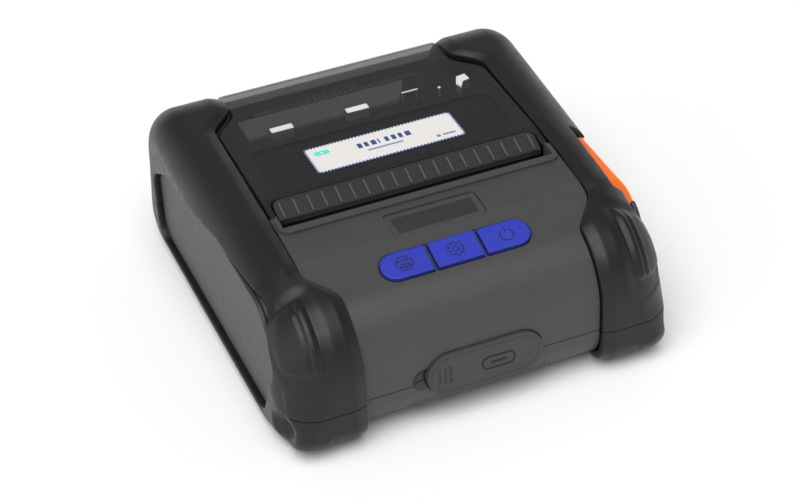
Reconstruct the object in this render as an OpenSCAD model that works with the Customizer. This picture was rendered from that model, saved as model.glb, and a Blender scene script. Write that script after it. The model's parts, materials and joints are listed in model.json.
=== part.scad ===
// Rugged portable label maker: a clamshell thermal printer for label rolls up to 80 mm wide.
// Millimetres. +Z up, the front (display and buttons) faces -Y, origin on the table under the centre.

/* [Overall] */
// Width across the two side bumpers
total_w = 127; // [126:0.5:129]
// Depth from the front of the bumpers to their back
total_d = 135; // [134.5:0.1:135.5]
// Height of the split between the upper and the lower case
split_z = 16.1; // [15.8:0.1:16.4]
// Running gap between separate covers
gap = 0.3; // [0.25:0.05:0.35]

/* [Case] */
// Wall thickness of the case
wall = 2.2; // [1.8:0.1:2.4]
// Half width of the middle of the case, between the bumpers
centre_half_w = 46.5; // [46.3:0.1:46.7]
// Half width of the middle of the case where the bumpers close in on it
waist_half_w = 38.2; // [38:0.1:38.6]

/* [Lid] */
// Height of the lid's flat top
lid_top_z = 51.8; // [51.6:0.1:52]
// Thickness of the lid
lid_t = 2.2; // [2:0.1:2.3]
// Hinge axis of the lid, from the middle of the case
lid_hinge_y = 54; // [53.9:0.1:54.1]
// Height of the hinge axis of the lid
lid_hinge_z = 42; // [41.9:0.1:42.1]
// Front edge of the lid
lid_front_y = -12.5; // [-12.6:0.1:-12.4]

/* [Print mechanism] */
// Radius of the rubber platen roller
platen_r = 6; // [5.9:0.05:6]
// Distance of the platen axis behind the middle of the case
platen_y = -8; // [-8:0.05:-7.9]
// Height of the platen axis
platen_z = 41; // [40.9:0.1:41]
// Radius of the platen shaft
shaft_r = 2; // [1.8:0.1:2]
// Tooth module of the platen gear train
gear_m = 0.6; // [0.58:0.01:0.6]

/* [Controls] */
// Travel axis tilt of the three buttons, following the sloping face
key_tilt = 16.2; // [15:0.2:18]
// Half width of the middle button
key_half_w = 7.35; // [7:0.05:7.4]
// Radius of the round outer ends of the button row
key_r = 4.7; // [4.5:0.05:4.8]
// Half width of the display window
display_half_w = 15.1; // [14:0.1:15.5]
// Half width of the port cover
port_half_w = 18.8; // [18:0.1:19]
// Height of the port cover's centre
port_z = 17.4; // [17.2:0.1:17.6]
// Radius of the port cover's round ends
port_r = 7.5; // [7.2:0.1:7.6]

/* [Media bay] */
// Widest label roll between the guides
media_w = 80; // [70:1:80]

/* [Hidden] */

$fn = 48;
eps = 0.01;
arc_over = 0.006;
half_w = total_w / 2;
half_d = total_d / 2;

// Side outlines are chains of circles [y, z, r], anticlockwise seen with +Y to the right.
// The bumpers' circles also have the radius of their outer edge and their half width.
shared_discs = [
    [half_d - 11, 11.8, 11, 4, half_w],
    [half_d - 19.5, 35, 19.5, 10, half_w],
    [-12.5, 36.8, 15.5, 15, half_w],
    [-33, 34.4, 16, 16, half_w],
    [-half_d + 23, 24.5, 23, 18, half_w]];
bumper_outline = concat([[-half_d + 9, 9.8, 9, 9, half_w - 5]], shared_discs);
bumper_keel = [-44, 12.8, 12, 3, half_w - 0.5];
core_outline = concat([[-half_d + 17, 17.8, 17]], shared_discs);
body_outline = [
    [-52, 14.5, 12.5],
    [56.6, 10.5, 8.5],
    [50.1, 36, 15],
    [-10, 45.8, 5],
    [-29.3, 27.2, 22],
    [-44, 24.5, 20.5]];
window_outline = [
    [-38.5, 12.2, 7.5],
    [50.5, 12, 7],
    [50.2, 25, 7.1],
    [38, 29, 9.5],
    [-7, 35.2, 8.8],
    [-38, 33.6, 10],
    [-46, 27, 7.5]];

// The case's core under the bumpers is stepped: half width and inset of each step.
core_steps = [[50, 4.2], [55.5, 8.5]];
core_side_x = 59.7;
core_side_inset = 1;
panel_t = 1.6;
panel_x = 61.5;
lid_side_gap = 0.5;
lid_rear_r = lid_top_z - lid_hinge_z;

// The orange lever's notch in the right bumper
latch_y = -34.5;
latch_z = 37.5;
notch_x = 55.8;
notch_y0 = -38.6;
notch_y1 = -5.8;
notch_z = 33.4;
notch_bridge = 2.4;

// Display recess and button row
display_y0 = -35.4;
display_y1 = -24.5;
key_y = -45.1;
key_z = 45.55;
key_outer_x = 24;
key_gap = 1.35;
key_proud = 1;
key_depth = 3.2;
key_flange = 0.8;

// Label exit: strip, slot and lip
strip_half_w = 43.5;
strip_y0 = -13.1;
strip_y1 = -5.5;
slot_front_y = -19.1;
lip_half_w = 46;
lip_w = 1.5;
lip_h = 0.9;

// Gear train, all in one plane at the left end of the platen
pinion_teeth = 12;
idler_teeth = 28;
platen_teeth = 14;
gear_x = -46.2;
gear_w = 1.6;
motor_y = -9;
motor_z = 17;
motor_r = 10;
centre_pinion = gear_m * (pinion_teeth + idler_teeth) / 2;
centre_platen = gear_m * (idler_teeth + platen_teeth) / 2;
train_y = platen_y - motor_y;
train_z = platen_z - motor_z;
train_l = sqrt(train_y * train_y + train_z * train_z);
train_a = (centre_pinion * centre_pinion - centre_platen * centre_platen + train_l * train_l)
    / (2 * train_l);
train_h = sqrt(centre_pinion * centre_pinion - train_a * train_a);
idler_y = motor_y + (train_a * train_y - train_h * train_z) / train_l;
idler_z = motor_z + (train_a * train_z + train_h * train_y) / train_l;
angle_to_idler = atan2(idler_z - motor_z, idler_y - motor_y);
angle_to_platen = atan2(platen_z - idler_z, platen_y - idler_y);
idler_phase = angle_to_idler + 180 + 180 / idler_teeth;
idler_step = (angle_to_platen - idler_phase) / (360 / idler_teeth);
idler_part = idler_step - floor(idler_step);
platen_phase = angle_to_platen + 180 + (idler_part * 360 + 180) / platen_teeth;

// Media bay and its guides
wall_in = 46.4;
wall_out = 48;
bay_y0 = 3.2;
bay_y1 = 46.4;
floor_z0 = 6.2;
floor_z1 = 7.8;
side_z0 = 7.5;
side_z1 = 9.1;
step_x = 42;
guide_y = 24;
rack_m = 0.8;
rack_teeth = 12;
rack_r = rack_m * rack_teeth / 2;
rack_z0 = 8.2;
rack_h = 2;
guide_t = 1.6;
pinion_bore_r = 1.5;

// Colours of the parts
case_grey = [0.31, 0.31, 0.32];
bumper_black = [0.16, 0.16, 0.17];
lid_smoke = [0.2, 0.2, 0.21];
key_blue = [0.24, 0.28, 0.75];
latch_orange = [1, 0.49, 0.18];
steel = [0.7, 0.71, 0.73];
board_green = [0.1, 0.35, 0.2];
nylon_white = [0.9, 0.9, 0.88];
rubber_black = [0.1, 0.1, 0.1];

// ---- outlines ----

// Outward normal of the line that touches two neighbouring circles of an outline.
function touch_normal(a, b) =
    let (d = [b[0] - a[0], b[1] - a[1]])
    let (k = (a[2] - b[2]) / norm(d))
    let (u = d / norm(d))
    [u[1] * sqrt(1 - k * k) + u[0] * k, -u[0] * sqrt(1 - k * k) + u[1] * k];

function touch_points(cs) = [for (i = [0:len(cs) - 1])
    let (a = cs[i], b = cs[(i + 1) % len(cs)])
    let (n = touch_normal(a, b))
    each [[a[0], a[1]] + a[2] * n, [b[0], b[1]] + b[2] * n]];

function grown(cs, g) = [for (c = cs) [c[0], c[1], c[2] + g]];

// A convex outline with true arcs at its corners. The arcs stand a hair proud of the straights.
module outline(cs) {
    polygon(touch_points(cs));
    for (c = cs)
        translate([c[0], c[1]])
            circle(c[2] + arc_over);
}

// Turns a (y, z) outline into a slab between two x positions.
module slab(x0, x1) {
    translate([x0, 0, 0])
        rotate([90, 0, 90])
            linear_extrude(x1 - x0)
                children();
}

// A slab that lies the same way on both sides of the middle plane.
module slab_both(x0, x1) {
    slab(x0, x1) children();
    slab(-x1, -x0) children();
}

module rod_x(x0, x1, y, z, r) {
    translate([x0, y, z])
        rotate([0, 90, 0])
            cylinder(h = x1 - x0, r = r);
}

module box(x0, x1, y0, y1, z0, z1) {
    translate([x0, y0, z0])
        cube([x1 - x0, y1 - y0, z1 - z0]);
}

module rounded_rect(x0, x1, y0, y1, r) {
    translate([x0 + r, y0])
        square([x1 - x0 - 2 * r, y1 - y0]);
    translate([x0, y0 + r])
        square([x1 - x0, y1 - y0 - 2 * r]);
    for (x = [x0 + r, x1 - r], y = [y0 + r, y1 - r])
        translate([x, y])
            circle(r);
}

// Smooth step from 0 to 1, used for the bumpers' S-shaped inner edges.
function ease(t) = t * t * (3 - 2 * t);
s_steps = 8;
s_front = [-52, -38];
s_rear = [36, 48];
function plan_side(g) = concat(
    [[waist_half_w + g, -80]],
    [for (i = [0:s_steps]) [waist_half_w + g + (centre_half_w - waist_half_w) * ease(i / s_steps),
        s_front[0] + (s_front[1] - s_front[0]) * i / s_steps]],
    [for (i = [0:s_steps]) [centre_half_w + g - (centre_half_w - waist_half_w) * ease(i / s_steps),
        s_rear[0] + (s_rear[1] - s_rear[0]) * i / s_steps]],
    [[waist_half_w + g, 80]]);

// Plan of the middle of the case between the bumpers, grown by g.
module centre_plan(g) {
    side = plan_side(g);
    last = len(side) - 1;
    polygon(concat(side, [for (i = [0:last]) [-side[last - i][0], side[last - i][1]]]));
}

module centre_column(g, z0, z1) {
    translate([0, 0, z0])
        linear_extrude(z1 - z0)
            centre_plan(g);
}

// Spring of closed rings standing in for a helix, along +X from x0.
module ring_spring(x0, y, z, r, wire_r, rings, pitch) {
    for (i = [0:rings - 1])
        translate([x0 + i * pitch, y, z])
            rotate([0, 90, 0])
                rotate_extrude()
                    translate([r, 0])
                        circle(wire_r, $fn = 16);
}

// Gear cut from a round blank: the space between two teeth is a tapered notch.
module gear(teeth, m, bore) {
    r = m * teeth / 2;
    tip = r + 0.85 * m;
    root = r - 1.1 * m;
    half = 360 / teeth / 4;
    difference() {
        circle(tip);
        for (i = [0:teeth - 1])
            rotate((i + 0.5) * 360 / teeth)
                polygon([for (p = [[root, -0.68], [root, 0.68], [tip + 1, 1.86], [tip + 1, -1.86]])
                    [p[0] * cos(half * p[1]), p[0] * sin(half * p[1])]]);
        circle(bore);
    }
}

module gear_at(y, z, teeth, phase, bore) {
    translate([0, y, z])
        rotate([phase, 0, 0])
            slab(gear_x, gear_x + gear_w)
                gear(teeth, gear_m, bore);
}

// ---- case ----

module window_slab(x0, x1, g, side) {
    difference() {
        slab(side > 0 ? x0 : -x1, side > 0 ? x1 : -x0)
            outline(grown(window_outline, g));
        if (side > 0)
            box(x0 - 1, x1 + 1, notch_y0 - notch_bridge + g, notch_y1 + notch_bridge - g,
                notch_z - notch_bridge + g, 60);
    }
}

// Solid core of the case, grown by g all round.
module case_core(g) {
    for (s = core_steps)
        slab(-s[0] - g, s[0] + g)
            outline(grown(core_outline, g - s[1]));
    for (side = [-1, 1])
        window_slab(0, core_side_x + g, g - core_side_inset, side);
}

module case_envelope() {
    case_core(0);
    intersection() {
        slab(-centre_half_w, centre_half_w)
            outline(body_outline);
        centre_column(0, -1, 60);
    }
}

module case_cavity() {
    case_core(-wall);
    box(-wall_out - gap, wall_out + gap, -39, bay_y1 + 2, side_z0 - gap, 44.8);
    box(-step_x - 2, step_x + 2, bay_y0 - 2, bay_y1 + 2, floor_z0 - gap, side_z0);
    intersection() {
        slab(-centre_half_w, centre_half_w)
            outline(grown(body_outline, -wall));
        centre_column(-wall, -1, 60);
    }
}

// Space that the lid, its curved back and the open bay take out of the case.
module lid_space() {
    intersection() {
        centre_column(eps, 20, 60);
        slab(-60, 60) {
            translate([lid_hinge_y, lid_hinge_z])
                circle(lid_rear_r + gap);
            translate([lid_front_y - gap, 30])
                square([lid_hinge_y - lid_front_y + gap, 40]);
            translate([lid_hinge_y, lid_hinge_z])
                square([20, 20]);
        }
    }
}

module port_plan(g) {
    translate([-port_half_w + port_r, 0])
        circle(port_r + g);
    translate([port_half_w - port_r, 0])
        circle(port_r + g);
    square([2 * (port_half_w - port_r), 2 * (port_r + g)], center = true);
}

module port_slab(y0, y1, g) {
    translate([0, y1, port_z])
        rotate([90, 0, 0])
            linear_extrude(y1 - y0)
                port_plan(g);
}

port_floor_y = -61.6;
port_boss_y = -60;
socket_half_w = 4.9;
socket_half_h = 2;

// Cuts for the port cover, its thumb recess and the socket behind it.
module port_cuts() {
    port_slab(-70, port_floor_y, gap);
    translate([-port_half_w - 0.6, -half_d - 0.6, port_z])
        sphere(5.4, $fn = 32);
    box(-socket_half_w, socket_half_w, -66, port_boss_y + 1, port_z - socket_half_h,
        port_z + socket_half_h);
}

module port_boss(z0, z1) {
    box(-port_half_w - 3, port_half_w + 3, port_floor_y - 1.5, port_boss_y, z0, z1);
}

// Local frame on the sloping face under the buttons: +Z is the way out.
module on_key_face() {
    translate([0, key_y, key_z])
        rotate([key_tilt, 0, 0])
            children();
}

module key_plan_middle(g) {
    square([2 * (key_half_w + g), 2 * (key_r + g)], center = true);
}

module key_plan_outer(side, g) {
    x0 = key_half_w + key_gap;
    mirror([side > 0 ? 0 : 1, 0]) {
        translate([x0 - g, -key_r - g])
            square([key_outer_x - key_r - x0 + g, 2 * (key_r + g)]);
        translate([key_outer_x - key_r, 0])
            circle(key_r + g);
    }
}

module key_row(g) {
    key_plan_middle(g);
    key_plan_outer(-1, g);
    key_plan_outer(1, g);
}

key_pocket = 0.5;
key_clear = 0.25;

module key_cuts() {
    on_key_face() {
        translate([0, 0, -key_pocket])
            linear_extrude(6)
                key_row(0.7);
        translate([0, 0, -8])
            linear_extrude(12)
                key_row(key_clear);
    }
}

module display_plan(g, z0, z1) {
    translate([0, 0, z0])
        linear_extrude(z1 - z0)
            rounded_rect(-display_half_w - g, display_half_w + g, display_y0 - g, display_y1 + g, 1.5);
}

// Curved slice of the middle skin between two depths.
module skin_slice(depth0, depth1) {
    difference() {
        slab(-50, 50)
            outline(grown(body_outline, -depth0));
        slab(-51, 51)
            outline(grown(body_outline, -depth1));
    }
}

module lip() {
    intersection() {
        slab(-lip_half_w, lip_half_w)
            outline(grown(body_outline, lip_h));
        translate([0, 0, 46])
            linear_extrude(10)
                difference() {
                    rounded_rect(-lip_half_w, lip_half_w, slot_front_y - 2.7, lid_front_y - gap, 3);
                    rounded_rect(-lip_half_w + lip_w, lip_half_w - lip_w, slot_front_y - 0.1,
                        lid_front_y + 5, 3);
                }
    }
}

module slot_cut() {
    box(-lip_half_w + lip_w, lip_half_w - lip_w, slot_front_y, lid_front_y, 44, 60);
}

latch_hole_r = 2.6;

module upper_shell() {
    color(case_grey)
        difference() {
            union() {
                difference() {
                    case_envelope();
                    case_cavity();
                }
                lip();
                port_boss(split_z, port_z + port_r + 3);
            }
            translate([-100, -100, -50])
                cube([200, 200, 50 + split_z + gap / 2]);
            lid_space();
            slot_cut();
            display_plan(0.1, 40, 60);
            key_cuts();
            port_cuts();
            rod_x(40, 70, latch_y, latch_z, latch_hole_r);
        }
}

door_half_w = 34;
door_y0 = -53;
door_y1 = -20.5;
screw_x = 43.5;
screw_ys = [9, 33];
screw_seat_z = 3.2;

module screw_sites() {
    for (x = [-screw_x, screw_x], y = screw_ys)
        translate([x, y, 0])
            children();
}

foot_sites = [[42, -31], [33, 53]];

module foot_places() {
    for (s = [-1, 1], p = foot_sites)
        translate([s * p[0], p[1], 0])
            children();
}

module lower_shell() {
    color(case_grey)
        difference() {
            union() {
                difference() {
                    case_envelope();
                    case_cavity();
                }
                port_boss(port_z - port_r - 3, split_z);
            }
            translate([-100, -100, split_z - gap / 2])
                cube([200, 200, 80]);
            box(-door_half_w - 0.2, door_half_w + 0.2, door_y0 - 0.2, door_y1 + 0.2, 0, 4.5);
            port_cuts();
            screw_sites() {
                cylinder(h = 10, r = 1.6);
                cylinder(h = screw_seat_z, r = 2.6);
            }
        }
}

// ---- bumpers ----

// Disc lying in the side plane whose outer edge is rounded by e, for the bumpers' soft form.
module edge_disc(x_out, r, e) {
    translate([x_out - e, 0, 0])
        rotate([90, 0, 90])
            rotate_extrude($fn = 36)
                intersection() {
                    translate([r - e, 0])
                        circle(e, $fn = 28);
                    square([100, 100]);
                }
}

module bumper_form() {
    hull() {
        for (c = concat(bumper_outline, [bumper_keel])) {
            translate([0, c[0], c[1]])
                edge_disc(c[4], c[2], c[3]);
            translate([0, c[0], c[1]])
                rod_x(33, 34, 0, 0, c[2]);
        }
    }
}

step_w = 3;
step_depth = 1.2;

// Lowered band along the inner edge of a bumper.
module bumper_step() {
    difference() {
        centre_column(gap + step_w, -5, 70);
        slab(-80, 80)
            outline(grown(bumper_outline, -step_depth));
    }
}

module latch_notch() {
    box(notch_x, 80, notch_y0, notch_y1, notch_z, 60);
}

module bumper_half(side, z0, z1) {
    intersection() {
        difference() {
            mirror([side > 0 ? 0 : 1, 0, 0])
                bumper_form();
            case_core(gap);
            centre_column(gap, -5, 70);
            bumper_step();
            window_slab(40, 80, 0, side);
            if (side > 0)
                latch_notch();
        }
        box(-80, 80, -80, 80, z0, z1);
    }
}

module bumper_upper_left() {
    color(bumper_black)
        bumper_half(-1, split_z + gap / 2, 70);
}

module bumper_upper_right() {
    color(bumper_black)
        bumper_half(1, split_z + gap / 2, 70);
}

module bumper_lower_left() {
    color(bumper_black)
        bumper_half(-1, -1, split_z - gap / 2);
}

module bumper_lower_right() {
    color(bumper_black)
        bumper_half(1, -1, split_z - gap / 2);
}

panel_gap = 0.5;

module side_panel(side) {
    color([0.38, 0.38, 0.39])
        window_slab(panel_x - panel_t, panel_x, -panel_gap, side);
}

module side_panel_left() {
    side_panel(-1);
}

module side_panel_right() {
    side_panel(1);
}

// ---- lid ----

lid_arc_end = -8;
lid_swing_y = 2;
lid_edge_z = 51;
strip_notch_half_w = strip_half_w + 0.7;
recess_half_w = 40.7;
recess_y0 = -1.3;
recess_y1 = 21.8;
recess_depth = 0.3;

// Pie-shaped region from the hinge axis between two angles.
module sector(r, a0, a1) {
    mid = (a0 + a1) / 2;
    polygon([[0, 0], [r * cos(a0), r * sin(a0)], [r * cos(mid), r * sin(mid)] * 1.4,
        [r * cos(a1), r * sin(a1)]]);
}

module lid_profile() {
    translate([lid_front_y, lid_top_z - lid_t])
        square([lid_hinge_y - lid_front_y, lid_t]);
    translate([lid_hinge_y, lid_hinge_z])
        intersection() {
            difference() {
                circle(lid_rear_r);
                circle(lid_rear_r - lid_t);
            }
            sector(lid_rear_r * 1.5, lid_arc_end, 90.5);
        }
}

// Plan of the lid: the rear curve keeps clear of the bumpers as the lid swings up.
module lid_plan(inset, shift) {
    translate([0, -shift, 0])
        centre_column(-inset, 20, 60);
}

// Front edge is shaved to follow the slope of the case.
module lid_front_slope() {
    slab(-60, 60)
        polygon([[lid_front_y - 1, lid_top_z - 1.3], [lid_front_y + 9, lid_top_z],
            [lid_front_y + 9, lid_top_z + 5], [lid_front_y - 1, lid_top_z + 5]]);
}

module lid() {
    color([0.2, 0.2, 0.21, 0.8])
        difference() {
            intersection() {
                slab(-centre_half_w, centre_half_w)
                    lid_profile();
                lid_plan(lid_side_gap, lid_swing_y);
            }
            difference() {
                box(-60, 60, 20, lid_hinge_y - 8, 20, lid_edge_z);
                lid_plan(4 * lid_side_gap, 2 * lid_swing_y);
            }
            lid_front_slope();
            lid_cutouts();
            translate([0, 0, 40])
                linear_extrude(20)
                    rounded_rect(-strip_notch_half_w, strip_notch_half_w, lid_front_y - 10,
                        strip_y1 + 0.6, 3);
            translate([0, 0, lid_top_z - recess_depth])
                linear_extrude(5)
                    rounded_rect(-recess_half_w, recess_half_w, recess_y0, recess_y1, 3);
        }
}

frame_z0 = 46.6;
frame_z1 = 48.2;
arm_x0 = 41.3;
arm_x1 = 42.8;
bush_r = 3.2;
pin_r = 1.5;
knuckle_x = [30, 34.5];

module lid_frame() {
    color(lid_smoke)
        difference() {
            union() {
                box(-43.6, 43.6, -1.5, 34, frame_z0, frame_z1);
                box(-37, 37, 33, 46, frame_z0, frame_z1);
                box(-43.6, 43.6, strip_y0 + 7.2, -1.4, 47.15, frame_z1 - 0.75);
                slab_both(arm_x0, arm_x1) {
                    translate([platen_y, platen_z])
                        circle(bush_r + 1.4);
                    translate([platen_y - 4.2, platen_z])
                        square([10.7, 6.4]);
                }
                slab_both(knuckle_x[0], knuckle_x[1]) {
                    translate([lid_hinge_y, lid_hinge_z])
                        circle(3.4);
                    polygon([[44.6, frame_z0 + 0.3], [46, frame_z1], [lid_hinge_y, lid_hinge_z + 3.4],
                        [lid_hinge_y - 2.4, lid_hinge_z - 2.4]]);
                }
            }
            rod_x(-60, 60, platen_y, platen_z, bush_r);
            rod_x(-60, 60, lid_hinge_y, lid_hinge_z, pin_r + 0.05);
        }
}

module lid_label() {
    color([0.87, 0.86, 0.84])
        box(-25, 25, 1.8, 16.2, lid_top_z - recess_depth, lid_top_z - recess_depth + 0.15);
}

// Paper hold-down parts between the lid and its frame; their heads show through cut-outs in the lid
rail_x0 = -36.9;
rail_x1 = 20.6;
rail_y0 = 33;
rail_y1 = 43.5;
rail_t = 1.2;
tab_top_z = lid_top_z - 0.1;
tab_gap = 0.25;
tab_y0 = 29.6;
tab_y1 = 32.2;
tab_xs = [-26.4, -0.6];
tab_half_w = 3.7;
pin_x = 28;
pin_y = 30.5;
pin_head_r = 0.5;
wire_x0 = 15.8;
wire_x1 = 21.4;
wire_y = 33;
wire_r = 0.35;
hook_points = [[34.5, 27.4], [36.4, 30.5], [39, 31], [38.6, 34.4], [35.5, 33.9], [33.8, 30.1]];
hook_middle = [36.3, 31.2];

module paper_rail() {
    color([0.32, 0.32, 0.33])
        translate([0, 0, frame_z1])
            linear_extrude(rail_t)
                polygon([[rail_x0, rail_y0], [rail_x1 - 5.8, rail_y0],
                    [rail_x1, rail_y1], [rail_x0, rail_y1]]);
}

module paper_clips() {
    color(nylon_white) {
        for (x = tab_xs)
            box(x - tab_half_w, x + tab_half_w, tab_y0, tab_y1, frame_z1, tab_top_z);
        translate([pin_x, pin_y, frame_z1])
            cylinder(h = tab_top_z - frame_z1, r = pin_head_r);
    }
}

// Wire staple whose straight back lies in a slot of the lid
module paper_wire() {
    color(nylon_white) {
        rod_x(wire_x0, wire_x1, wire_y, tab_top_z - wire_r, wire_r);
        for (x = [wire_x0 + wire_r, wire_x1 - wire_r])
            translate([x, wire_y, frame_z1])
                cylinder(h = tab_top_z - wire_r - frame_z1, r = wire_r);
    }
}

module paper_hook() {
    color(nylon_white)
        translate([0, 0, frame_z1])
            linear_extrude(tab_top_z - frame_z1)
                polygon(hook_points);
}

// Cut-outs in the lid round the heads of the hold-down parts
module lid_cutouts() {
    for (x = tab_xs)
        box(x - tab_half_w - tab_gap, x + tab_half_w + tab_gap, tab_y0 - tab_gap, tab_y1 + tab_gap, 40, 60);
    box(wire_x0 - tab_gap, wire_x1 + tab_gap, wire_y - wire_r - tab_gap, wire_y + wire_r + tab_gap, 40, 60);
    translate([pin_x, pin_y, 40])
        cylinder(h = 20, r = pin_head_r + tab_gap);
    translate([hook_middle[0], hook_middle[1], 40])
        linear_extrude(20)
            scale(1.12)
                translate(-hook_middle)
                    polygon(hook_points);
}

ridge_pitch = 4.62;
ridge_count = 19;

module exit_strip() {
    color([0.25, 0.25, 0.26]) {
        intersection() {
            slab(-strip_half_w, strip_half_w)
                polygon([[strip_y0, 47.5], [strip_y1, 47.5], [strip_y1, lid_top_z - 0.1],
                    [strip_y1 - 1.6, lid_top_z - 0.1], [strip_y0, 49.4]]);
            translate([0, 0, 40])
                linear_extrude(20)
                    rounded_rect(-strip_half_w, strip_half_w, strip_y0 - 8, strip_y1, 3);
        }
        for (i = [0:ridge_count - 1])
            let (x = (i - (ridge_count - 1) / 2) * ridge_pitch)
            slab(x - 0.3, x + 0.3)
                polygon([[strip_y0 + 0.4, 48], [strip_y1 - 1.7, 48], [strip_y1 - 1.7, lid_top_z],
                    [strip_y0 + 0.4, 49.85]]);
    }
}

module lid_hinge_pin() {
    color(steel)
        rod_x(-37.6, 37.6, lid_hinge_y, lid_hinge_z, pin_r);
}

module lid_spring() {
    color(steel)
        ring_spring(-9, lid_hinge_y, lid_hinge_z, 2.3, 0.45, 10, 1.8);
}

// ---- print mechanism ----

beam_z0 = 27.4;
beam_z1 = 29;
plate_x0 = -43.4;
plate_x1 = -41.8;
ear_x = [35, 36.8];
axle_r = 1.2;
fit = 0.05;

module chassis() {
    color([0.15, 0.15, 0.16])
        difference() {
            union() {
                box(-step_x - 1.4, step_x + 1.4, bay_y0 - 1.6, bay_y1 + 1.6, floor_z0, floor_z1);
                box(-wall_out, wall_out, bay_y0 - 1.6, bay_y0, side_z0, 33);
                box(-wall_out, wall_out, bay_y1, bay_y1 + 1.6, side_z0, 30);
                slab_both(step_x, wall_out)
                    polygon([[bay_y0 - 1.6, side_z0], [bay_y1 + 1.6, side_z0], [bay_y1 + 1.6, side_z1],
                        [bay_y0 - 1.6, side_z1]]);
                slab_both(wall_in, wall_out)
                    polygon([[-24, 9], [-20, side_z0], [bay_y1 + 1.6, side_z0], [bay_y1 + 1.6, 44.5],
                        [-22, 44.5], [-28, 41.6], [-38, 41.6], [-38, 33.5], [-24, 33.5]]);
                box(plate_x0, plate_x1, -23, bay_y0 - 1.6, 9, 33.8);
                box(plate_x0, wall_in, -22.3, -4, beam_z0, beam_z1);
                slab_both(ear_x[0], ear_x[1]) {
                    translate([lid_hinge_y, lid_hinge_z])
                        circle(3.8);
                    polygon([[bay_y1, 28], [bay_y1 + 1.6, 28], [bay_y1 + 1.6, 35],
                        [lid_hinge_y, lid_hinge_z - 3.7], [lid_hinge_y, lid_hinge_z + 3.7], [bay_y1, 43]]);
                }
                translate([0, guide_y, floor_z1 - 0.5])
                    cylinder(h = 3.2, r = pinion_bore_r - fit);
            }
            rod_x(-60, 60, lid_hinge_y, lid_hinge_z, pin_r);
            rod_x(-60, 60, latch_y, latch_z, shaft_r + fit);
            rod_x(-60, -40, idler_y, idler_z, axle_r);
            rod_x(-44, -40, motor_y, motor_z, 4.4);
            screw_sites()
                translate([0, 0, 4])
                    cylinder(h = 7, r = 1.2);
        }
}

platen_half_w = 40.9;

module platen_roller() {
    color(rubber_black)
        difference() {
            rod_x(-platen_half_w, platen_half_w, platen_y, platen_z, platen_r);
            rod_x(-50, 50, platen_y, platen_z, shaft_r);
        }
}

module platen_shaft() {
    color(steel)
        rod_x(gear_x - 0.1, 44.6, platen_y, platen_z, shaft_r);
}

module platen_gear() {
    color(nylon_white)
        gear_at(platen_y, platen_z, platen_teeth, platen_phase, shaft_r);
}

module platen_bushes() {
    color([0.72, 0.6, 0.35])
        for (x = [-arm_x1, arm_x0])
            difference() {
                rod_x(x, x + arm_x1 - arm_x0, platen_y, platen_z, bush_r);
                rod_x(x - 1, x + 3, platen_y, platen_z, shaft_r + fit);
            }
}

module idler_gear() {
    color(nylon_white)
        gear_at(idler_y, idler_z, idler_teeth, idler_phase, axle_r + fit);
}

module idler_axle() {
    color(steel)
        rod_x(-wall_out, plate_x1, idler_y, idler_z, axle_r);
}

motor_l = 18;
motor_shaft_r = 1;

// The pinion is one piece with the motor's shaft.
module motor_pinion() {
    color([0.78, 0.65, 0.3]) {
        gear_at(motor_y, motor_z, pinion_teeth, angle_to_idler, motor_shaft_r / 2);
        rod_x(gear_x - 0.1, plate_x1 + 2.6, motor_y, motor_z, motor_shaft_r);
    }
}

module motor() {
    color([0.6, 0.61, 0.63])
        difference() {
            union() {
                rod_x(plate_x1, plate_x1 + motor_l, motor_y, motor_z, motor_r - 0.2);
                rod_x(plate_x0 + 0.4, plate_x1, motor_y, motor_z, 4);
            }
            rod_x(gear_x, plate_x1 + 3, motor_y, motor_z, motor_shaft_r + fit);
        }
}

head_face_y = platen_y - platen_r - 0.1;
head_t = 1;
sink_y0 = head_face_y - 4.5;

module print_head() {
    color([0.85, 0.85, 0.8])
        box(-41, 41, head_face_y - head_t, head_face_y, 34, 46);
}

module heat_sink() {
    color([0.75, 0.76, 0.78])
        difference() {
            box(-41.4, 41.4, sink_y0, head_face_y - head_t, 30.5, 46);
            for (i = [-8:8])
                box(i * 4.8 - 1, i * 4.8 + 1, sink_y0 - 1, sink_y0 + 1.5, 30, 35);
        }
}

bracket_y = -23.9;
bracket_t = 1.5;
spring_xs = [-25, 0, 25];

module head_springs() {
    color(steel)
        for (x = spring_xs, i = [0:3])
            translate([x, bracket_y + bracket_t + 0.45 + i * 0.96, 39])
                rotate([90, 0, 0])
                    rotate_extrude()
                        translate([2.4, 0])
                            circle(0.4, $fn = 16);
}

module head_bracket() {
    color(steel) {
        box(-41.4, 41.4, bracket_y, bracket_y + bracket_t, beam_z1, 44.6);
        box(-41.4, 41.4, bracket_y + bracket_t, sink_y0 + 2, beam_z1, beam_z1 + 1.2);
    }
}

module tear_bar() {
    color(steel)
        slab(-42, 42)
            polygon([[slot_front_y + 0.15, 46.2], [slot_front_y + 1.2, 46.2],
                [slot_front_y + 1.2, 48.9], [slot_front_y + 0.6, 49.5], [slot_front_y + 0.15, 48.9]]);
}

// ---- latch ----

latch_x0 = 56.3;
shoulder_r = 15.1;
shoulder_x = 48.2;
shoulder_z = 36.4;

module latch_lever() {
    color(latch_orange)
        difference() {
            intersection() {
                slab(latch_x0, half_w)
                    outline([[latch_y, latch_z, 3.4], [-10, latch_z - 0.5, 3], [-9, 44, 2],
                        [latch_y + 3, 44.1, 3.1]]);
                translate([shoulder_x, 10, shoulder_z])
                    rotate([90, 180, 0])
                        cylinder(h = 60, r = shoulder_r);
            }
            translate([half_w + 1.4, -14.5, 40.2])
                rotate([-90, 0, 0])
                    cylinder(h = 5, r = 3.6);
            rod_x(latch_x0 - 1, latch_x0 + 3, latch_y, latch_z, shaft_r);
        }
}

module latch_shaft() {
    color(steel)
        rod_x(-wall_out, latch_x0 + 3, latch_y, latch_z, shaft_r);
}

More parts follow.
